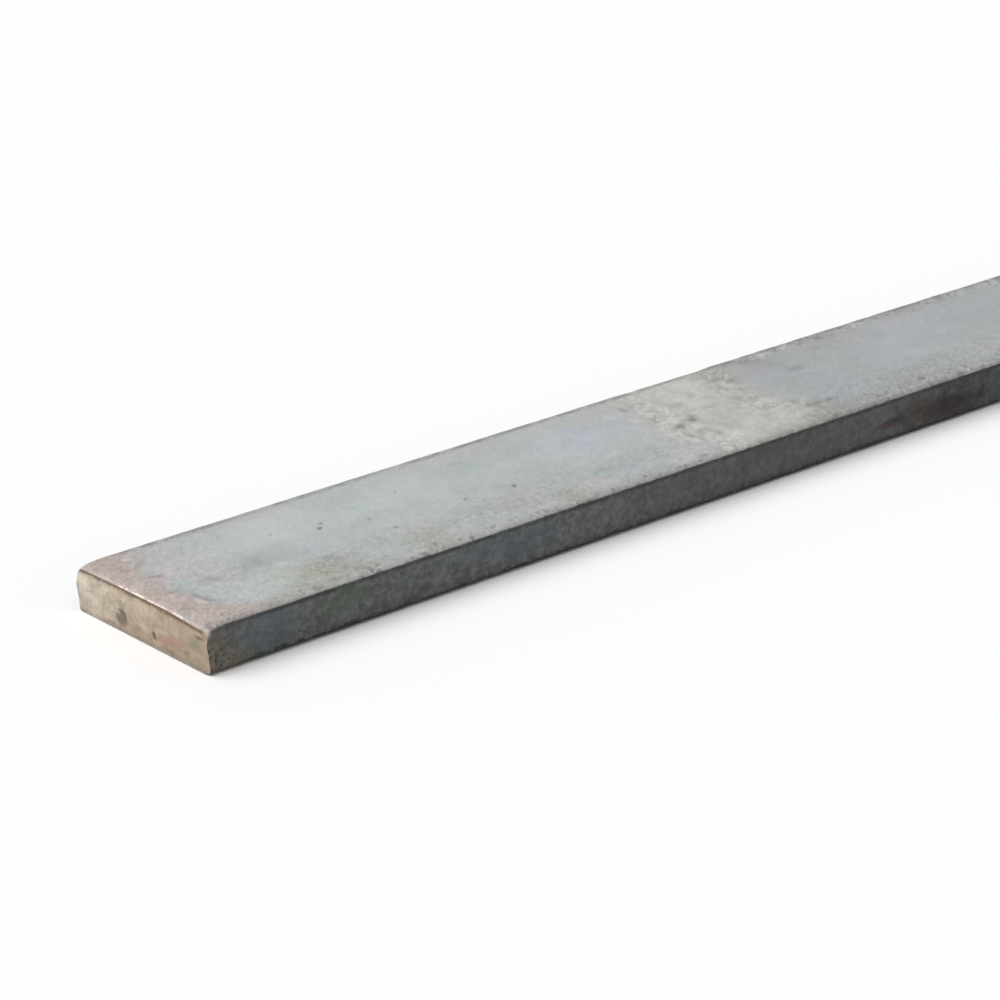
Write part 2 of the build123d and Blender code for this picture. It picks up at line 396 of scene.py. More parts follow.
def drawn(y, z, swing):
    """Moves a point of the section as the shear does.

    The swing is 0 at the cut and 90 where the rollover stops.
    """
    left = 1 - math.sin(math.radians(swing))
    share = ease(z, DRAWN_FROM, THICKNESS - CORNER_RADIUS)
    lower = rim_drop(y) * left * share
    pull = CORNER_PULL * left * share * ease(-y, WIDTH / 2 - PULLED_WIDTH, WIDTH / 2)
    out = min(1.0, (abs(y) - (WIDTH / 2 - EDGE_BOW - CORNER_RADIUS)) / CORNER_RADIUS)
    down = (CORNER_RADIUS - z) / CORNER_RADIUS
    up = (z - THICKNESS + CORNER_RADIUS) / CORNER_RADIUS
    if out > 0 and down > 0:
        squareness = left * (FAR_LOW_SQUARENESS if y > 0 else NEAR_LOW_SQUARENESS)
        pull -= pressed(out, squareness)
        lower += pressed(down, squareness)
    elif out > 0 and up > 0 and y > 0:
        squareness = left * FAR_HIGH_SQUARENESS
        pull -= pressed(out, squareness)
        lower -= pressed(up, squareness)
    return y - math.copysign(pull, y), z - lower


def rolled_in(start, swing):
    """How far in a point of the rollover lies that is at start where the swing is 0."""
    return start + (ROLLOVER_LENGTH - start) * (1 - math.cos(math.radians(swing)))


def rollover_row(outline, swing, end):
    """One row of points round an end, as (distance in, y, z)."""
    row = []
    for y, z, _ in outline:
        rim_y, rim_z = drawn(y, z, 0)
        row.append((rolled_in(cut_depth(rim_y, rim_z, end), swing), *drawn(y, z, swing)))
    return row


# What covers the rolled faces: each is read at a place along the bar, from -X, and across it


def flake_rims(face):
    """The flaked places of the top (1) or the underside (-1), each as two readers of its rims' places."""
    def wander(place, seed):
        return lambda y: place + 2.6 * ripple(y, 0, 0, 5.0, seed) + 1.2 * ripple(y, 0, 0, 2.0, seed + 4)

    rims = []
    if face > 0:
        rims.append((lambda y: along(FLAKED_LEFT, y), lambda y: along(FLAKED_RIGHT, y)))
    for start, stop in OTHER_TOP_FLAKES if face > 0 else UNDERSIDE_FLAKES:
        rims.append((wander(start, start), wander(stop, stop)))
    return rims


FLAKES = {1: flake_rims(1), -1: flake_rims(-1)}


def flake_distance(place, y, face):
    """Millimetres inside the rim of a flaked place, or below 0 outside all of them."""
    inside = -FLAKE_READ
    for left, right in FLAKES[face]:
        inside = max(inside, min(place - left(y), right(y) - place, FLAKE_READ))
    return inside


def rusted(place, y, face, from_cut):
    """How much the scale has rusted, about 0 to 1."""
    if place < LENGTH / 2 and face > 0:
        reach = along(RUST_RIM, y)
    else:
        reach = 5.2 + 1.6 * ripple(y, 0, 0, 6, 3 * face)
    beside_cut = 1 - ease(from_cut, reach - 3.2, reach + 2.4)
    if place < SEEN and face > 0:
        return beside_cut + spots(RUST_MARKS, place, y)
    edge_share = ease(abs(y), 3.0, 9.0)
    return beside_cut + 0.9 * edge_share * max(0, ripple(place, y, 0, 13, 29 * face) - 0.12)


def blushed(place, y, face):
    """How far a thin pinkish-grey haze covers the scale, from 0 to about 1."""
    near_edge = 1 - ease(y + WIDTH / 2, 0.7, 2.2 + 1.2 * ripple(place, 0, 0, 9.0, 11.0 * face))
    far_edge = 1 - ease(WIDTH / 2 - y, 0.5, 2.4 + 1.2 * ripple(place, 0, 0, 7.0, 17.0 * face))
    marks = spots(BLUSH_MARKS, place, y) if face > 0 else 0.0
    if place > SEEN + 2 or face < 0:
        marks += 1.4 * max(0, ripple(place, y * 1.6, 0, 10, 23 * face) - 0.1)
    beside_flake = ease(flake_distance(place, y, face), -2.5, 0)
    return max(0.6 * near_edge, 0.7 * far_edge, 0.6 * beside_flake) + marks


def tinted(place, y, face):
    """The cast of the scale, from -1 for green to 1 for lavender."""
    cast = 0.9 * ripple(place, y * 1.6, 0, 16, 41 * face)
    if face < 0 or place > SEEN + 4:
        return cast
    return 0.35 * cast + spots(TINT_MARKS, place, y)


def toned(place, y, face):
    """How much lighter (above 0) or darker (below 0) the scale is."""
    tone = 0.3 * ripple(place, y * 2, 0, 9, 53 * face) - ease(place, DARKER_FROM, DARKER_TO)
    if face < 0 or place > SEEN + 4:
        return tone + 0.45 * min(0, ripple(place, y * 1.5, 0, 7, 59 * face) + 0.1)
    return tone + spots(TONE_MARKS, place, y) + strokes(TONE_STROKES, place, y)


def face_cover(place, y, face, from_cut):
    """The readings of a wide face: rust, haze, cast and tone."""
    return rusted(place, y, face, from_cut), *(read(place, y, face) for read in (blushed, tinted, toned))


def edge_cover(place, y, z):
    """The same of a narrow edge. Its haze is purple, and its cast goes from green, below 0, to teal."""
    if y < 0 and place < SEEN + 2:
        return tuple(spots(marks, place, z) for marks in (EDGE_RUST, EDGE_PURPLE, EDGE_TINT, EDGE_TONE))
    seed = math.copysign(37, y)
    rust = 2.2 * max(0, ripple(place, 0, z * 2, 13, seed) - 0.3)
    purple = 2 * max(0, ripple(place, 0, z * 2, 8, seed + 5) - 0.4)
    tint = 1.6 * ripple(place, 0, z * 2, 15, seed + 9)
    return rust, purple, tint, 0.8 * ripple(place, 0, z, 9, seed + 13)


def worn(place, y, z, face, edge, inside):
    """How far the surface lies below the plain rolled section."""
    wave = WAVE_DEPTH * (1 + ripple(place, y * 2, 0, 11, 71 * face))
    ragged = inside + 0.9 * ripple(place, y, 0, 1.6, 83)
    flake = FLAKE_DEPTH * ease(ragged, -0.1, 0.5)
    flake += CRUMB_DEPTH * (1 + ripple(place, y, z, 0.9, 5)) * ease(ragged, 0, 0.6)
    hollow = ROLLED_IN_DEPTH * max(0, ripple(place, y, z, 2.2, 97) - 0.25) * (1 + 2 * edge)
    corner = 4 * edge * (1 - edge)
    nick = NICK_DEPTH * corner * max(0, ripple(place * 0.8, y * 0.2, z * 0.2, 1.7, 13) + 0.05)
    return wave + flake + hollow + nick


# The mesh


READINGS = ("flaked", "round_corner", "rusted", "blushed", "tinted", "toned")


class Bar:
    """Collects the points, faces and readings of the bar's mesh."""

    def __init__(self):
        self.points = []
        self.faces = []
        self.unwrapped = []  # for each face, the place of each of its corners on the flattened sheet
        self.materials = []
        self.readings = {name: [] for name in READINGS}

    def add_point(self, x, y, z, angle=None, round_corner=-3.0):
        """Adds a point of a rolled face, or of a cut where no angle is given, and gives its number."""
        place = x + LENGTH / 2
        face = 1 if z > THICKNESS / 2 else -1
        edge = 0
        inside = -FLAKE_READ
        if angle is not None:
            edge = math.cos(math.radians(angle)) ** 2
            inside = flake_distance(place, y, face) - FLAKE_KEPT_OFF * edge
            depth = worn(place, y, z, face, edge, inside)
            y -= depth * math.cos(math.radians(angle))
            z -= depth * math.sin(math.radians(angle))
        self.points.append((x * MM, y * MM, z * MM))
        from_cut = min(place, LENGTH - place)
        cover = edge_cover(place, y, z) if edge > 0.5 else face_cover(place, y, face, from_cut)
        for values, value in zip(self.readings.values(), (inside, round_corner, *cover)):
            values.append(value)
        return len(self.points) - 1

    def add_face(self, corners, sheet, material):
        self.faces.append(corners)
        self.unwrapped.append(sheet)
        self.materials.append(material)


def sheet_place(x, way, strip):
    """Where a point lies on the flattened sheet, from x and the way round the section to it."""
    u = SHEET_GAP + x + LENGTH / 2 - strip * STRIP_LENGTH
    v = SHEET_GAP + strip * (GIRTH + SHEET_GAP) + way
    return u / SHEET, v / SHEET


def station_places():
    """Distances from -X of the coarse rows between the two end stretches."""
    places = [END_STRETCH]
    last = LENGTH - END_STRETCH
    while places[-1] < last - 0.3:
        here = places[-1]
        spacing = COARSE_SPACING
        ahead = last
        for start, stop, fine in FINE_STRETCHES:
            if start - 1e-6 <= here < stop - 1e-6:
                spacing = fine
                ahead = min(ahead, stop)
            elif here < start:
                ahead = min(ahead, start)
        for border in range(1, STRIPS):
            if here < border * STRIP_LENGTH - 1e-6:
                ahead = min(ahead, border * STRIP_LENGTH)
        room = ahead - here
        steps = max(1, round(room / spacing))
        places.append(here + room / steps)
    return places


def girth_readings(outline):
    """The way round the section from its start to each point, and all the way round as the last number."""
    way = [0.0]
    closed = outline + outline[:1]
    for (y, z, _), (next_y, next_z, _) in zip(closed, closed[1:]):
        way.append(way[-1] + math.hypot(next_y - y, next_z - z))
    return way


def join_rows(bar, *rows):
    """Faces between two rows, each (its points' numbers, x, the way round to each point).

    One row may have twice as many points as the other.
    """
    middle = (rows[0][1] + rows[1][1]) / 2
    strip = min(STRIPS - 1, int((middle + LENGTH / 2) / STRIP_LENGTH))
    count, next_count = (len(numbers) for numbers, _, _ in rows)

    def face(*corners):
        points, sheet = [], []
        for side, i in corners:
            numbers, x, way = rows[side]
            points.append(numbers[i % len(numbers)])
            sheet.append(sheet_place(x, way[i], strip))
        bar.add_face(points, sheet, 0)

    for i in range(min(count, next_count)):
        if count == next_count:
            face((0, i), (1, i), (1, i + 1), (0, i + 1))
        elif count > next_count:
            face((0, 2 * i), (1, i), (0, 2 * i + 1))
            face((0, 2 * i + 1), (1, i), (1, i + 1))
            face((0, 2 * i + 1), (1, i + 1), (0, 2 * i + 2))
        else:
            face((0, i), (1, 2 * i), (1, 2 * i + 1))
            face((0, i), (1, 2 * i + 1), (0, i + 1))
            face((0, i + 1), (1, 2 * i + 1), (1, 2 * i + 2))


def add_cut(bar, row, end):
    """Fills the cut inside its rim with a grid. The row gives the numbers of the rim's points."""
    arc = ARC_STEPS // 2 * END_DETAIL
    up_count = EDGE_STEPS * END_DETAIL + 2 * arc
    across_count = FACE_STEPS * END_DETAIL + 2 * arc
    near = row[: up_count + 1]
    top = row[up_count: up_count + across_count + 1]
    far = row[up_count + across_count: 2 * up_count + across_count + 1][::-1]
    under = (row[2 * up_count + across_count:] + row[:1])[::-1]

    def at(number):
        point = bar.points[number]
        return point[1] / MM, point[2] / MM

    def between(first, last, share, k):
        """A place between two points: across the bar where k is 0, and its height where k is 1."""
        return (1 - share) * at(first)[k] + share * at(last)[k]

    grid = []
    for i in range(up_count + 1):
        line = []
        up = i / up_count
        for j in range(across_count + 1):
            across = j / across_count
            if i == 0:
                line.append(under[j])
            elif i == up_count:
                line.append(top[j])
            elif j == 0:
                line.append(near[i])
            elif j == across_count:
                line.append(far[i])
            else:
                place = []
                for k in (0, 1):
                    sides = between(near[i], far[i], across, k)
                    flats = between(under[j], top[j], up, k)
                    corners = (1 - up) * between(under[0], under[-1], across, k)
                    corners += up * between(top[0], top[-1], across, k)
                    place.append(sides + flats - corners)
                y, z = place
                depth = cut_depth(y, z if end < 0 else THICKNESS - z, end)
                line.append(bar.add_point(end * (LENGTH / 2 - depth), y, z))
        grid.append(line)

    def sheet(number):
        y, z = at(number)
        u = SHEET_GAP + STRIP_LENGTH + CUT_SHIFT + (z if end < 0 else THICKNESS - z) * CUT_SQUEEZE
        v = SHEET_GAP + WIDTH / 2 + y + (0 if end < 0 else WIDTH + 4 * SHEET_GAP)
        return u / SHEET, v / SHEET

    for i in range(up_count):
        for j in range(across_count):
            corners = [grid[i][j], grid[i + 1][j], grid[i + 1][j + 1], grid[i][j + 1]]
            if end > 0:
                corners.reverse()
            bar.add_face(corners, [sheet(n) for n in corners], 1)


def build_bar():
    """The bar's mesh: fine rows over both ends, coarser rows between them, and a grid over each cut."""
    bar = Bar()
    fine = section_outline(END_DETAIL)
    coarse = section_outline(1)

    def straight_row(outline, place):
        x = place - LENGTH / 2
        numbers = [bar.add_point(x, y, z, angle, round_corner(y, z)) for y, z, angle in outline]
        return numbers, x, girth_readings(outline)

    def end_rows(end):
        """Rows from the cut to where the rollover stops."""
        turned = [(y, z if end < 0 else THICKNESS - z, angle) for y, z, angle in fine]
        found = []
        for i in range(ROLLOVER_ROWS):
            swing = 90 * i / ROLLOVER_ROWS
            numbers = []
            for (depth, y, z), (plain_y, plain_z, angle) in zip(rollover_row(turned, swing, end), fine):
                x = end * (LENGTH / 2 - depth)
                z = z if end < 0 else THICKNESS - z
                numbers.append(bar.add_point(x, y, z, angle, round_corner(plain_y, plain_z)))
            found.append((numbers, end * (LENGTH / 2 - rolled_in(LAND_LEAN, swing)), girth_readings(fine)))
        return found

    inner_length = END_STRETCH - ROLLOVER_LENGTH
    inner = [ROLLOVER_LENGTH + inner_length * i / ROLLOVER_ROWS for i in range(ROLLOVER_ROWS)]
    first_end = end_rows(-1)
    last_end = end_rows(1)
    rows = first_end + [straight_row(fine, place) for place in inner]
    rows += [straight_row(coarse, place) for place in station_places()]
    rows += [straight_row(fine, LENGTH - place) for place in reversed(inner)]
    rows += reversed(last_end)
    for row, next_row in zip(rows, rows[1:]):
        join_rows(bar, row, next_row)
    add_cut(bar, first_end[0][0], -1)
    add_cut(bar, last_end[0][0], 1)
    return bar


def bar_object(bar):
    """Turns the collected mesh into the object, with its unwrapping, readings and sharp rims."""
    mesh = bpy.data.meshes.new("flat_bar_steel")
    mesh.from_pydata(bar.points, [], bar.faces)
    for name, values in bar.readings.items():
        mesh.attributes.new(name, "FLOAT", "POINT").data.foreach_set("value", values)
    unwrapping = mesh.uv_layers.new(name="OFBake")
    places = [number for sheet in bar.unwrapped for place in sheet for number in place]
    unwrapping.data.foreach_set("uv", places)
    mesh.polygons.foreach_set("material_index", bar.materials)
    mesh.polygons.foreach_set("use_smooth", [True] * len(bar.faces))
    mesh.update()
    mesh.set_sharp_from_angle(angle=math.radians(SHARP_ANGLE))
    mesh.materials.append(rolled_steel())
    mesh.materials.append(sheared_steel())
    piece = bpy.data.objects.new("flat_bar_steel", mesh)
    bpy.context.scene.collection.objects.link(piece)
    return piece


# Materials


def srgb(red, green, blue):
    """A colour given as it looks on a screen, from 0 to 255, as the numbers that a shader takes."""
    def linear(value):
        value /= 255
        return value / 12.92 if value <= 0.04045 else ((value + 0.055) / 1.055) ** 2.4
    return (linear(red), linear(green), linear(blue), 1.0)


class Shader:
    """A material's nodes. Each call adds nodes and gives back the output of the last one.

    Where a number is asked for, a tuple stands for the product of what is in it.
    """

    def __init__(self, owner):
        """The owner is a new material or world."""
        owner.use_nodes = True
        self.owner = owner
        self.nodes = owner.node_tree.nodes
        self.links = owner.node_tree.links

    def put(self, socket, value):
        """Gives a socket a plain value, a product, or the output of another node."""
        if isinstance(value, tuple) and socket.type == "VALUE":
            value = self.times(*value)
        if isinstance(value, bpy.types.NodeSocket):
            self.links.new(value, socket)
        else:
            socket.default_value = value

    def node(self, kind, *values, **settings):
        """Adds a node, with its settings, and fills its first inputs."""
        node = self.nodes.new("ShaderNode" + kind)
        for name, setting in settings.items():
            setattr(node, name, setting)
        for socket, value in zip(node.inputs, values):
            self.put(socket, value)
        return node

    def math(self, operation, first, *others):
        """Takes its numbers two at a time, from the left."""
        for other in others or (0,):
            first = self.node("Math", first, other, operation=operation).outputs[0]
        return first

    def add(self, *terms):
        return self.math("ADD", *terms)

    def minus(self, *terms):
        return self.math("SUBTRACT", *terms)

    def times(self, *factors):
        return self.math("MULTIPLY", *factors)

    def larger(self, *numbers):
        return self.math("MAXIMUM", *numbers)

    def ease(self, value, low, high, start=0, stop=1):
        """A smooth climb from start, at and beyond low, to stop, at and beyond high."""
        if low > high:
            low, high, start, stop = high, low, stop, start
        numbers = (value, low, high, start, stop)
        return self.node("MapRange", *numbers, interpolation_type="SMOOTHSTEP").outputs[0]

    def mix(self, share, first, second):
        """A colour between two others."""
        node = self.node("Mix", share, data_type="RGBA")
        self.put(node.inputs[6], first)
        self.put(node.inputs[7], second)
        return node.outputs[2]

    def mix_numbers(self, share, first, second):
        return self.add((self.minus(1, share), first), (share, second))

    def reading(self, name):
        return self.node("Attribute", attribute_name=name).outputs["Fac"]

    def scaled(self, vector, factor):
        node = self.node("VectorMath", vector, operation="SCALE")
        self.put(node.inputs["Scale"], factor)
        return node.outputs[0]

    def place(self):
        """The place on the bar, in millimetres."""
        return self.scaled(self.node("TexCoord").outputs["Object"], 1 / MM)

    def shifted(self, place, stretch=(1, 1, 1), shift=(0, 0, 0), turn=0):
        """A place stretched, then turned about Z by an angle in degrees, then shifted."""
        return self.node("Mapping", place, shift, (0, 0, math.radians(turn)), stretch).outputs[0]

    def parts(self, place):
        return self.node("SeparateXYZ", place).outputs

    def noise(self, place, size, detail=3, roughness=0.5, twist=0):
        """Cloudy noise, mostly between -0.2 and 0.2, whose clouds are about as large as size."""
        node = self.node("TexNoise", place)
        settings = {"Scale": 1 / size, "Detail": detail, "Roughness": roughness, "Distortion": twist}
        for name, setting in settings.items():
            node.inputs[name].default_value = setting
        return self.add(node.outputs["Fac"], -0.5)

    def oval(self, first, second, mark, core=0.1):
        """A soft oval mark: (place, place, reach, reach, strength), at full strength inside its core."""
        first_place, second_place, first_reach, second_reach, strength = mark
        one = self.math("DIVIDE", self.add(first, -first_place), first_reach)
        two = self.math("DIVIDE", self.add(second, -second_place), second_reach)
        return self.ease(self.add((one, one), (two, two)), core, 2 - core, strength, 0)

    def ovals(self, first, second, marks, core=0.1):
        """The strongest of several oval marks."""
        return self.larger(*(self.oval(first, second, mark, core) for mark in marks))

    def paint(self, colour, *layers):
        """Lays plain colours over another, each (share, red, green, blue) as it looks on a screen."""
        for share, *layer in layers:
            colour = self.mix(share, colour, srgb(*layer))
        return colour

    def brightened(self, colour, tone):
        """A colour made lighter by a share above 0 or darker by one below 0."""
        return self.scaled(colour, self.add(1, tone))

    def bump(self, height):
        """Relief too fine for the mesh, from a height in millimetres."""
        node = self.node("Bump")
        node.inputs["Distance"].default_value = MM
        self.put(node.inputs["Height"], height)
        return node.outputs["Normal"]

    def finish(self, **values):
        """Fills these inputs of the surface, named with _ for a space, and gives the material."""
        for name, value in values.items():
            self.put(self.nodes["Principled BSDF"].inputs[name.replace("_", " ")], value)
        return self.owner


def rolled_steel():
    """Mill scale, with its cast, smudges, rust, flaked places and pits, and the narrow edges, darker partly
    for their own scale and partly as painted shade.
    """
    s = Shader(bpy.data.materials.new("rolled_steel_scale"))
    place = s.place()
    x, y, z = s.parts(place)
    corner = s.reading("round_corner")
    edge = s.ease(corner, -CORNER_RADIUS, CORNER_RADIUS)
    top = s.ease(z, THICKNESS / 2 - 0.1, THICKNESS / 2 + 0.1)
    near = s.ease(y, 1, -1)
    from_end = s.add(x, LENGTH / 2)
    from_cut = s.minus(LENGTH / 2, s.math("ABSOLUTE", x))
    from_side = s.minus(WIDTH / 2, s.math("ABSOLUTE", y))

    # Noises that several of the layers share, most of them drawn out a little slantwise
    slanted = s.shifted(place, turn=GRAIN_SLANT)
    fine = s.noise(s.shifted(slanted, (1.2, 0.72, 1), (9, 63, 2)), 0.5, 3, 0.6)
    grain = s.noise(s.shifted(slanted, (1.15, 0.7, 1), (31, 7, 3)), 1, 3, 0.6, 0.4)
    crumbs = s.noise(s.shifted(slanted, (1.15, 0.72, 1), (77, 11, 5)), 1.3, 5, 0.64, 0.6)
    mottle = s.noise(s.shifted(slanted, (1.05, 0.75, 1), (15, 81, 6)), 2.6, 4, 0.6, 0.6)
    cloud = s.noise(s.shifted(place, (0.8, 0.9, 1), (5, 40, 9)), 4.6, 4, 0.6, 0.5)
    drift = s.noise(s.shifted(place, (0.6, 1, 1), (90, 3, 22)), 9, 3, 0.55, 0.3)

    # The scale of the wide faces, from green-grey to lavender, under a thin pinkish haze in places
    cast = s.add(s.reading("tinted"), (cloud, 2), (drift, 2), mottle)
    scale = s.mix(s.ease(cast, -1, 1.1), srgb(169, 177, 172), srgb(170, 174, 181))
    haze = s.add(s.reading("blushed"), (mottle, 2), (cloud, 1.4), (crumbs, 1.4))
    scale = s.paint(scale, ((s.ease(haze, 0.05, 1.1), 0.9), 174, 170, 171))

    # Rust as a thin bloom, olive where it is thin and tan where it is thick
    spread = s.add(s.reading("rusted"), (crumbs, 0.8), (mottle, 1.6), (fine, 0.4))
    rust = s.ease(spread, 0, 1.1)
    thick = s.times(s.ease(spread, 0, 1, 0.6, 1), s.ease(from_cut, 12, 7, 0.25, 1))
    bloom = s.mix(thick, srgb(156, 161, 152), srgb(174, 157, 148))
    bloom = s.paint(
        bloom,
        ((s.ease(crumbs, 0.03, 0.14), 0.5), 140, 133, 124),
        ((s.ease(crumbs, -0.05, -0.16), 0.4), 190, 182, 174),
        ((s.ease(mottle, 0, 0.12), thick, 0.5), 172, 162, 165),
    )
    wide = s.mix((rust, 0.92), scale, bloom)

    # The long edges: scuffed in a narrow band, with dark and pale flecks, more so at the near one
    wider = s.ease(from_end, 85, 105, 0, -1.2)
    band = s.ease(s.add(from_side, (mottle, 5), (crumbs, 3), wider), 3, 0.8)
    band = s.times(band, s.mix_numbers(near, s.ease(from_end, 70, 90, 0.45, 0.75), 1))
    dark_fleck = s.ease(s.add(crumbs, (grain, 0.6)), 0.02, 0.14)
    pale_fleck = s.ease(s.add(grain, (mottle, 0.7)), -0.04, -0.14)
    wide = s.paint(
        wide,
        ((band, 0.45), 150, 150, 147),
        ((band, dark_fleck, 0.7), 104, 104, 100),
        ((band, pale_fleck, s.ease(from_end, 40, 100, 0.55, 0.95)), 192, 192, 187),
    )

    # Places where the scale has flaked away: broken near their rims, plainer inside
    inside = s.reading("flaked")
    ragged = s.add(inside, (crumbs, 5), (fine, 2), (mottle, 5))
    bare = s.ease(ragged, -1, 1.4)
    left_part = s.ease(inside, 7, 2, 0.1, 1)
    under = s.mix(s.ease(mottle, -0.12, 0.12), srgb(173, 174, 166), srgb(183, 184, 178))
    under = s.paint(
        under,
        ((s.ease(crumbs, 0.02, 0.12), left_part, 0.5), 138, 136, 129),
        ((s.ease(mottle, -0.02, -0.12), left_part, 0.5), 152, 151, 143),
        ((s.ease(crumbs, -0.04, -0.13), left_part, 0.6), 206, 205, 196),
    )
    wide = s.mix((bare, 0.94), wide, under)

    # Curved cracks where the scale is lifting, beside the rims of flaked places and of the rust
    veins = s.noise(s.shifted(slanted, (1.2, 0.8, 1), (12, 66, 31)), 3.4, 2, 0.5, 0.6)
    vein = s.times(s.ease(s.math("ABSOLUTE", veins), 0.05, 0.005), s.ease(mottle, -0.06, 0.06))
    beside_flake = s.times(s.ease(inside, -2.5, 0), s.ease(inside, 6, 3, 0.3, 1))
    beside_rust = s.times(s.ease(spread, 0.1, 0.6), s.ease(from_cut, 11, 8, 0, 0.4))
    lifting = s.times(vein, s.larger((beside_flake, 0.8), beside_rust))
    wide = s.paint(wide, ((lifting, 0.36), 122, 116, 109))

    # Pits: those of the photographed stretch in their places, and scattered ones on the rest
    slant_x, slant_y, _ = s.parts(slanted)
    slant = Matrix.Rotation(math.radians(GRAIN_SLANT), 2)
    ovals = []
    for pit_place, pit_across, radius, depth in PITS:
        centre = slant @ Vector((pit_place - LENGTH / 2, pit_across))
        ovals.append((*centre, radius * 0.65, radius * 1.3, depth))
    pit = s.times(s.ovals(s.add(slant_x, (fine, 0.8)), s.add(slant_y, (grain, 0.8)), ovals), top)
    scattered = s.node("TexVoronoi", s.shifted(place, (0.5, 0.5, 0), (3, 17, 0)))
    scattered.inputs["Scale"].default_value = 0.16
    beyond = s.larger(s.ease(from_end, SEEN + 2, SEEN + 4), s.minus(1, top))
    stray = s.times(s.ease(scattered.outputs["Distance"], 0.045, 0.02), beyond)
    pit = s.larger(pit, (stray, 0.8))
    wide = s.paint(wide, ((pit, 0.75), 90, 94, 91))

    # The narrow edges: dark and mottled, darker partly for their own scale and partly as painted shade,
    # with their own casts and stains, and rough beside a cut
    streaks = s.noise(s.shifted(place, (0.5, 0.6, 1.5), (50, 8, 2)), 1, 4, 0.65, 0.3)
    narrow = s.mix(s.ease(grain, -0.16, 0.16), srgb(76, 77, 76), srgb(99, 101, 101))
    narrow = s.paint(
        narrow,
        ((s.ease(mottle, 0.04, 0.14), 0.3), 64, 64, 64),
        ((s.ease(mottle, -0.04, -0.15), 0.3), 92, 90, 90),
        ((s.ease(streaks, 0.05, 0.16), 0.4), 56, 55, 54),
        ((s.ease(streaks, -0.07, -0.17), 0.4), 108, 109, 108),
    )
    broken_cast = s.add(s.reading("tinted"), (cloud, 1.6), (crumbs, 1.2))
    narrow = s.paint(
        narrow,
        ((s.ease(broken_cast, 0.1, 1), 0.6), 72, 85, 90),
        ((s.ease(broken_cast, -0.15, -1.1), 0.55), 72, 88, 68),
        (s.ease(from_end, 50, 80, 0, 0.45), 66, 65, 65),
    )
    patchy = s.add(1, (crumbs, 3.5), (streaks, 2))
    stain = s.ease((s.reading("rusted"), patchy), 0.2, 0.9)
    narrow = s.paint(narrow, ((stain, 0.95), 74, 64, 54))
    stain = s.ease((s.reading("blushed"), patchy), 0.25, 0.9)
    narrow = s.paint(narrow, ((stain, 0.95), 60, 43, 50))
    # Painted shade: the narrow edges darken, in a jagged band, towards their foot where they meet the floor
    foot = s.ease(s.add(z, (streaks, 2.2), (fine, 2.2)), 0.85, 0.45)
    narrow = s.paint(narrow, ((foot, 0.85), 34, 33, 33))
    near_cut = s.ease(s.add(from_cut, z, (crumbs, 9), (mottle, 9)), 9, 3.5)
    specks = s.add((streaks, 0.35), fine)
    narrow = s.paint(narrow, ((near_cut, 0.7), 106, 98, 86))
    near_cut = s.times(near_cut, s.ease(z, 4.8, 2.5, 0.5, 0.9))
    narrow = s.paint(
        narrow,
        ((near_cut, s.ease(specks, 0, 0.13)), 46, 41, 38),
        ((near_cut, s.ease(specks, -0.04, -0.13)), 126, 113, 97),
    )

    # Where wide and narrow faces meet, the colour darkens round the corner as painted shade, with a jagged
    # dark line below it
    turn = s.add(corner, (crumbs, 0.35), (fine, 0.25), s.ease(top, 0, 1, 1.1, 0))
    further = s.ease(from_end, 40, 75)
    corner_shade = s.ease(s.add(turn, (further, 0.4)), -0.5, 0.4)
    colour = s.paint(wide, ((corner_shade, 0.25), 110, 110, 108))
    colour = s.mix(s.ease(turn, -0.05, 0.22), colour, narrow)
    line = s.times(s.ease(turn, 0.05, 0.25), s.ease(turn, 0.95, 0.5))
    line = s.times(line, s.ease(mottle, -0.1, 0.05, 0.5, 1), s.ease(from_cut, 2, 9, 0.4, 0.85))
    colour = s.paint(colour, (line, 40, 40, 39))
    # Painted shade: a grey line along the far long corner, which turns away from the light
    far_corner_shade = s.add(from_side, (crumbs, 1.6), fine)
    far_corner_shade = s.times(s.ease(far_corner_shade, 1.9, 1.25), s.ease(far_corner_shade, 0.35, 0.75))
    far_corner_shade = s.times(far_corner_shade, s.ease(near, 1, 0), s.ease(from_cut, 2, 8))
    colour = s.paint(colour, ((far_corner_shade, s.ease(mottle, -0.1, 0.12, 0.15, 0.7)), 110, 109, 110))

    # The worn lip of the rollover, rubbed bare just above the cut, with a painted highlight in short bright
    # beads on it, and its pale corners
    lip_from = s.add(from_cut, (fine, 0.7))
    lip = s.times(s.ease(lip_from, 0.68, 0.4), s.ease(edge, 0.4, 0.05))
    rubbed = s.noise(s.shifted(place, (0.2, 1, 0.2), (21, 4, 13)), 0.8, 2, 0.6)
    marks_y = s.mix_numbers(s.ease(x, -1, 1), y, s.minus(OTHER_END_SHIFT, y))
    bright = s.ovals(marks_y, (fine, 3), RUBBED_LIP_HIGHLIGHTS, 0.3)
    rubbed_lip_and_highlight = s.times(lip, s.larger((bright, s.ease(rubbed, -0.12, 0, 0.15, 1)), 0.14))
    colour = s.paint(colour, ((rubbed_lip_and_highlight, 0.9), 238, 222, 209))
    tip = s.times(s.ease(lip_from, 0.9, 0.5), s.ease(s.math("ABSOLUTE", y), 11, 11.8))
    tip = s.times(tip, s.ease(turn, 0.9, 0.4))
    colour = s.paint(colour, ((tip, 0.45), 198, 185, 171))

    # Lighter and darker all over, more towards the near edge and the cuts, less where the scale has flaked
    lively = s.larger(s.ease(y, -1, -8, 0.7, 1.4), s.ease(from_cut, 20, 11, 0.7, 1.3))
    lively = s.times(lively, s.ease(bare, 0, 1, 1, 0.6))
    tone = s.add((s.reading("toned"), TONE_SHARE), (cloud, 0.22), (drift, 0.2))
    texture = s.add((grain, 0.6), (fine, 0.4))
    tone = s.add(tone, (texture, lively), (mottle, s.ease(edge, 0.4, 0.6, 0.3, 0.8)))
    tone = s.add(tone, (crumbs, edge, s.ease(from_end, 95, 112, 0.3, 1)), (rust, s.add(crumbs, fine), 0.4))
    colour = s.brightened(colour, tone)

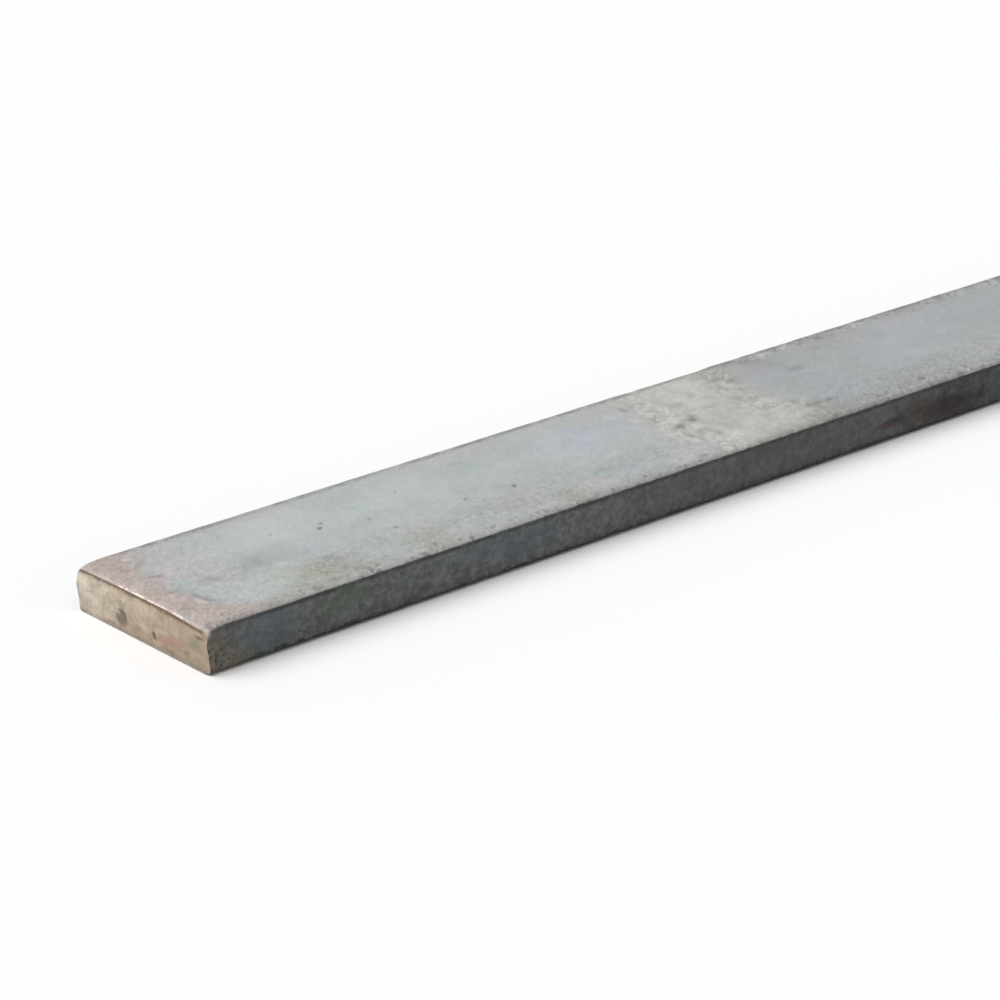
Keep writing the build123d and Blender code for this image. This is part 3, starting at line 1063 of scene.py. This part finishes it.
    rough = s.add(0.52, (grain, 0.5), (edge, 0.08), (s.larger(rust, bare), 0.08), (rubbed_lip_and_highlight, -0.24))
    metallic = s.larger(s.ease(rust, 0, 1, 0.35, 0.2), (rubbed_lip_and_highlight, 0.8))
    broken = s.add((bare, 0.6), (rust, 0.35), (edge, 0.4))
    height = s.add((fine, 0.03), (grain, 0.04), (crumbs, 0.1, broken), (rubbed_lip_and_highlight, s.add(rubbed, 0.5), 0.1))
    bumps = s.bump(s.minus(height, (pit, 0.06), (lifting, 0.03)))
    return s.finish(Base_Color=colour, Metallic=metallic, Roughness=rough, Normal=bumps)


def sheared_steel():
    """Bare steel of the cut, under a thin brown bloom, with the marks that the photograph shows."""
    s = Shader(bpy.data.materials.new("rolled_steel_cut"))
    place = s.place()
    x, y, z = s.parts(place)
    other = s.ease(x, -1, 1)
    height_up = s.mix_numbers(other, z, s.minus(THICKNESS, z))
    marks_y = s.mix_numbers(other, y, s.minus(OTHER_END_SHIFT, y))

    fine = s.noise(place, 0.5, 3, 0.6)
    torn = s.noise(s.shifted(place, (1, 0.8, 1.1), (4, 9, 30)), 1.1, 4, 0.58, 0.3)
    cloud = s.noise(s.shifted(place, (1, 1, 1.3), (60, 2, 8)), 2.6, 3, 0.55, 0.5)
    hue = s.noise(s.shifted(place, (1, 1, 1.3), (11, 52, 17)), 2, 3, 0.6, 0.5)
    scores = s.noise(s.shifted(place, (1, 3.2, 0.3), (14, 5, 2)), 0.9, 3, 0.6)

    # The bloom is thinnest, and palest, towards the far corner, and thickest low down and at the near one
    across = s.add(marks_y, (cloud, 14))
    colour = s.mix(s.ease(across, -7, 3), srgb(165, 147, 128), srgb(184, 168, 148))
    colour = s.paint(colour, (s.ease(across, 2.5, 10.5), 204, 195, 177))
    low = s.ease(s.add(height_up, (torn, 3), (cloud, 4)), 2.8, 0.8)
    colour = s.paint(
        colour,
        ((low, 0.42), 151, 132, 114),
        ((s.ease(hue, 0.02, 0.18), 0.35), 180, 178, 154),
        ((s.ease(hue, -0.02, -0.18), 0.35), 186, 158, 142),
        ((s.ease(torn, 0.03, 0.18), 0.45), 144, 127, 109),
        ((s.ease(torn, -0.04, -0.18), 0.35), 210, 198, 178),
    )

    off_y = s.add(marks_y, (torn, 0.6), (fine, 0.5))
    off_up = s.add(height_up, (fine, 0.7), (torn, 0.6))
    colour = s.paint(
        colour,
        ((s.ovals(off_y, off_up, END_BLUSH), 0.55), 176, 130, 115),
        ((s.oval(off_y, off_up, END_GREEN), 0.62), 130, 126, 106),
        ((s.oval(off_y, off_up, END_BROWN), 0.85), 112, 80, 58),
        ((s.ovals(off_y, off_up, END_STAINS, 0.3), 0.82), 86, 75, 58),
    )
    fringe = s.times(s.ease(s.add(y, (torn, 1.2)), 11.9, 12.4), s.ease(height_up, 1, 2))
    colour = s.paint(colour, ((fringe, s.ease(height_up, 4.2, 3.4), 0.6), 128, 110, 118))

    # The dark line under the rim, partly the cut's own dark colour and partly painted shade under the lip
    # of the rollover, which follows the rim's sag and gives out beside the near corner
    sag_near = s.ease(y, -SAG_FROM, -WIDTH / 2, 0, NEAR_CORNER_SAG)
    sag_far = s.ease(y, SAG_FROM, WIDTH / 2, 0, FAR_CORNER_SAG)
    below = s.minus(THICKNESS - ROLLOVER_DROP + RIM_RISE, sag_near, sag_far, height_up)
    below = s.add(below, (torn, 0.4), (fine, 0.3))
    line = s.times(s.ease(below, 0.52, 0.24), s.ease(y, *GROOVE_STOPS))
    colour = s.paint(
        colour,
        ((line, 0.9), 88, 66, 52),
        (s.ease(below, 1.1, 0.4, 0, 0.25), 150, 128, 110),
    )
    foot = s.ease(s.add(height_up, (torn, 1.6), (fine, 0.8)), 0.75, 0.15)
    colour = s.paint(colour, ((foot, 0.5), 112, 98, 88))

    tone = s.add((cloud, 0.75), (torn, 0.6), (fine, 0.4), (scores, 0.15))
    colour = s.brightened(colour, s.add(tone, -0.02))
    rough = s.add(0.5, (torn, 0.5), (fine, 0.3))
    bumps = s.bump(s.add((fine, 0.03), (torn, 0.09), (scores, 0.02)))
    return s.finish(Base_Color=colour, Metallic=0.3, Roughness=rough, Normal=bumps)


# The studio


def add_floor():
    """A plain pale floor under the bar."""
    mesh = bpy.data.meshes.new("floor")
    corners = [(-1, -1), (1, -1), (1, 1), (-1, 1)]
    points = [(x * FLOOR_REACH, y * FLOOR_REACH, -FLOOR_GAP * MM) for x, y in corners]
    mesh.from_pydata(points, [], [(0, 1, 2, 3)])
    floor = bpy.data.objects.new("floor", mesh)
    bpy.context.scene.collection.objects.link(floor)
    s = Shader(bpy.data.materials.new("floor_white"))
    white = (*[FLOOR_WHITE] * 3, 1)
    mesh.materials.append(s.finish(Base_Color=white, Metallic=0, Roughness=0.9, Specular_IOR_Level=0))


def light_studio():
    """A wide soft sun from the upper left, and an even white sky that gives only part of its light."""
    lamp = bpy.data.lights.new("key", "SUN")
    lamp.energy = SUN_STRENGTH
    lamp.angle = math.radians(SUN_ANGLE)
    sun = bpy.data.objects.new("key", lamp)
    sun.rotation_mode = "QUATERNION"
    sun.rotation_quaternion = Vector(SUN_FROM).to_track_quat("Z", "Y")
    bpy.context.scene.collection.objects.link(sun)

    s = Shader(bpy.data.worlds.new("studio"))
    rays = s.node("LightPath").outputs
    looked_at = s.larger(rays["Is Camera Ray"], rays["Is Glossy Ray"], rays["Is Transmission Ray"])
    background = s.nodes["Background"]
    background.inputs["Color"].default_value = (1, 1, 1, 1)
    s.put(background.inputs["Strength"], s.ease(looked_at, 0, 1, SKY_STRENGTH, 1))
    bpy.context.scene.world = s.owner


def add_camera():
    data = bpy.data.cameras.new("camera")
    data.lens = CAMERA_LENS
    data.sensor_width = CAMERA_SENSOR
    data.clip_start, data.clip_end = CAMERA_CLIP
    camera = bpy.data.objects.new("camera", data)
    camera.location = CAMERA_PLACE
    camera.rotation_euler = (math.radians(90 - CAMERA_TILT), 0, math.radians(CAMERA_HEADING))
    bpy.context.scene.collection.objects.link(camera)
    bpy.context.scene.camera = camera


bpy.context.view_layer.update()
bpy.context.scene.view_settings.view_transform = "Standard"
add_camera()
add_floor()
light_studio()
steel = bar_object(build_bar())
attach(steel, "root")
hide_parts("flat_bar")
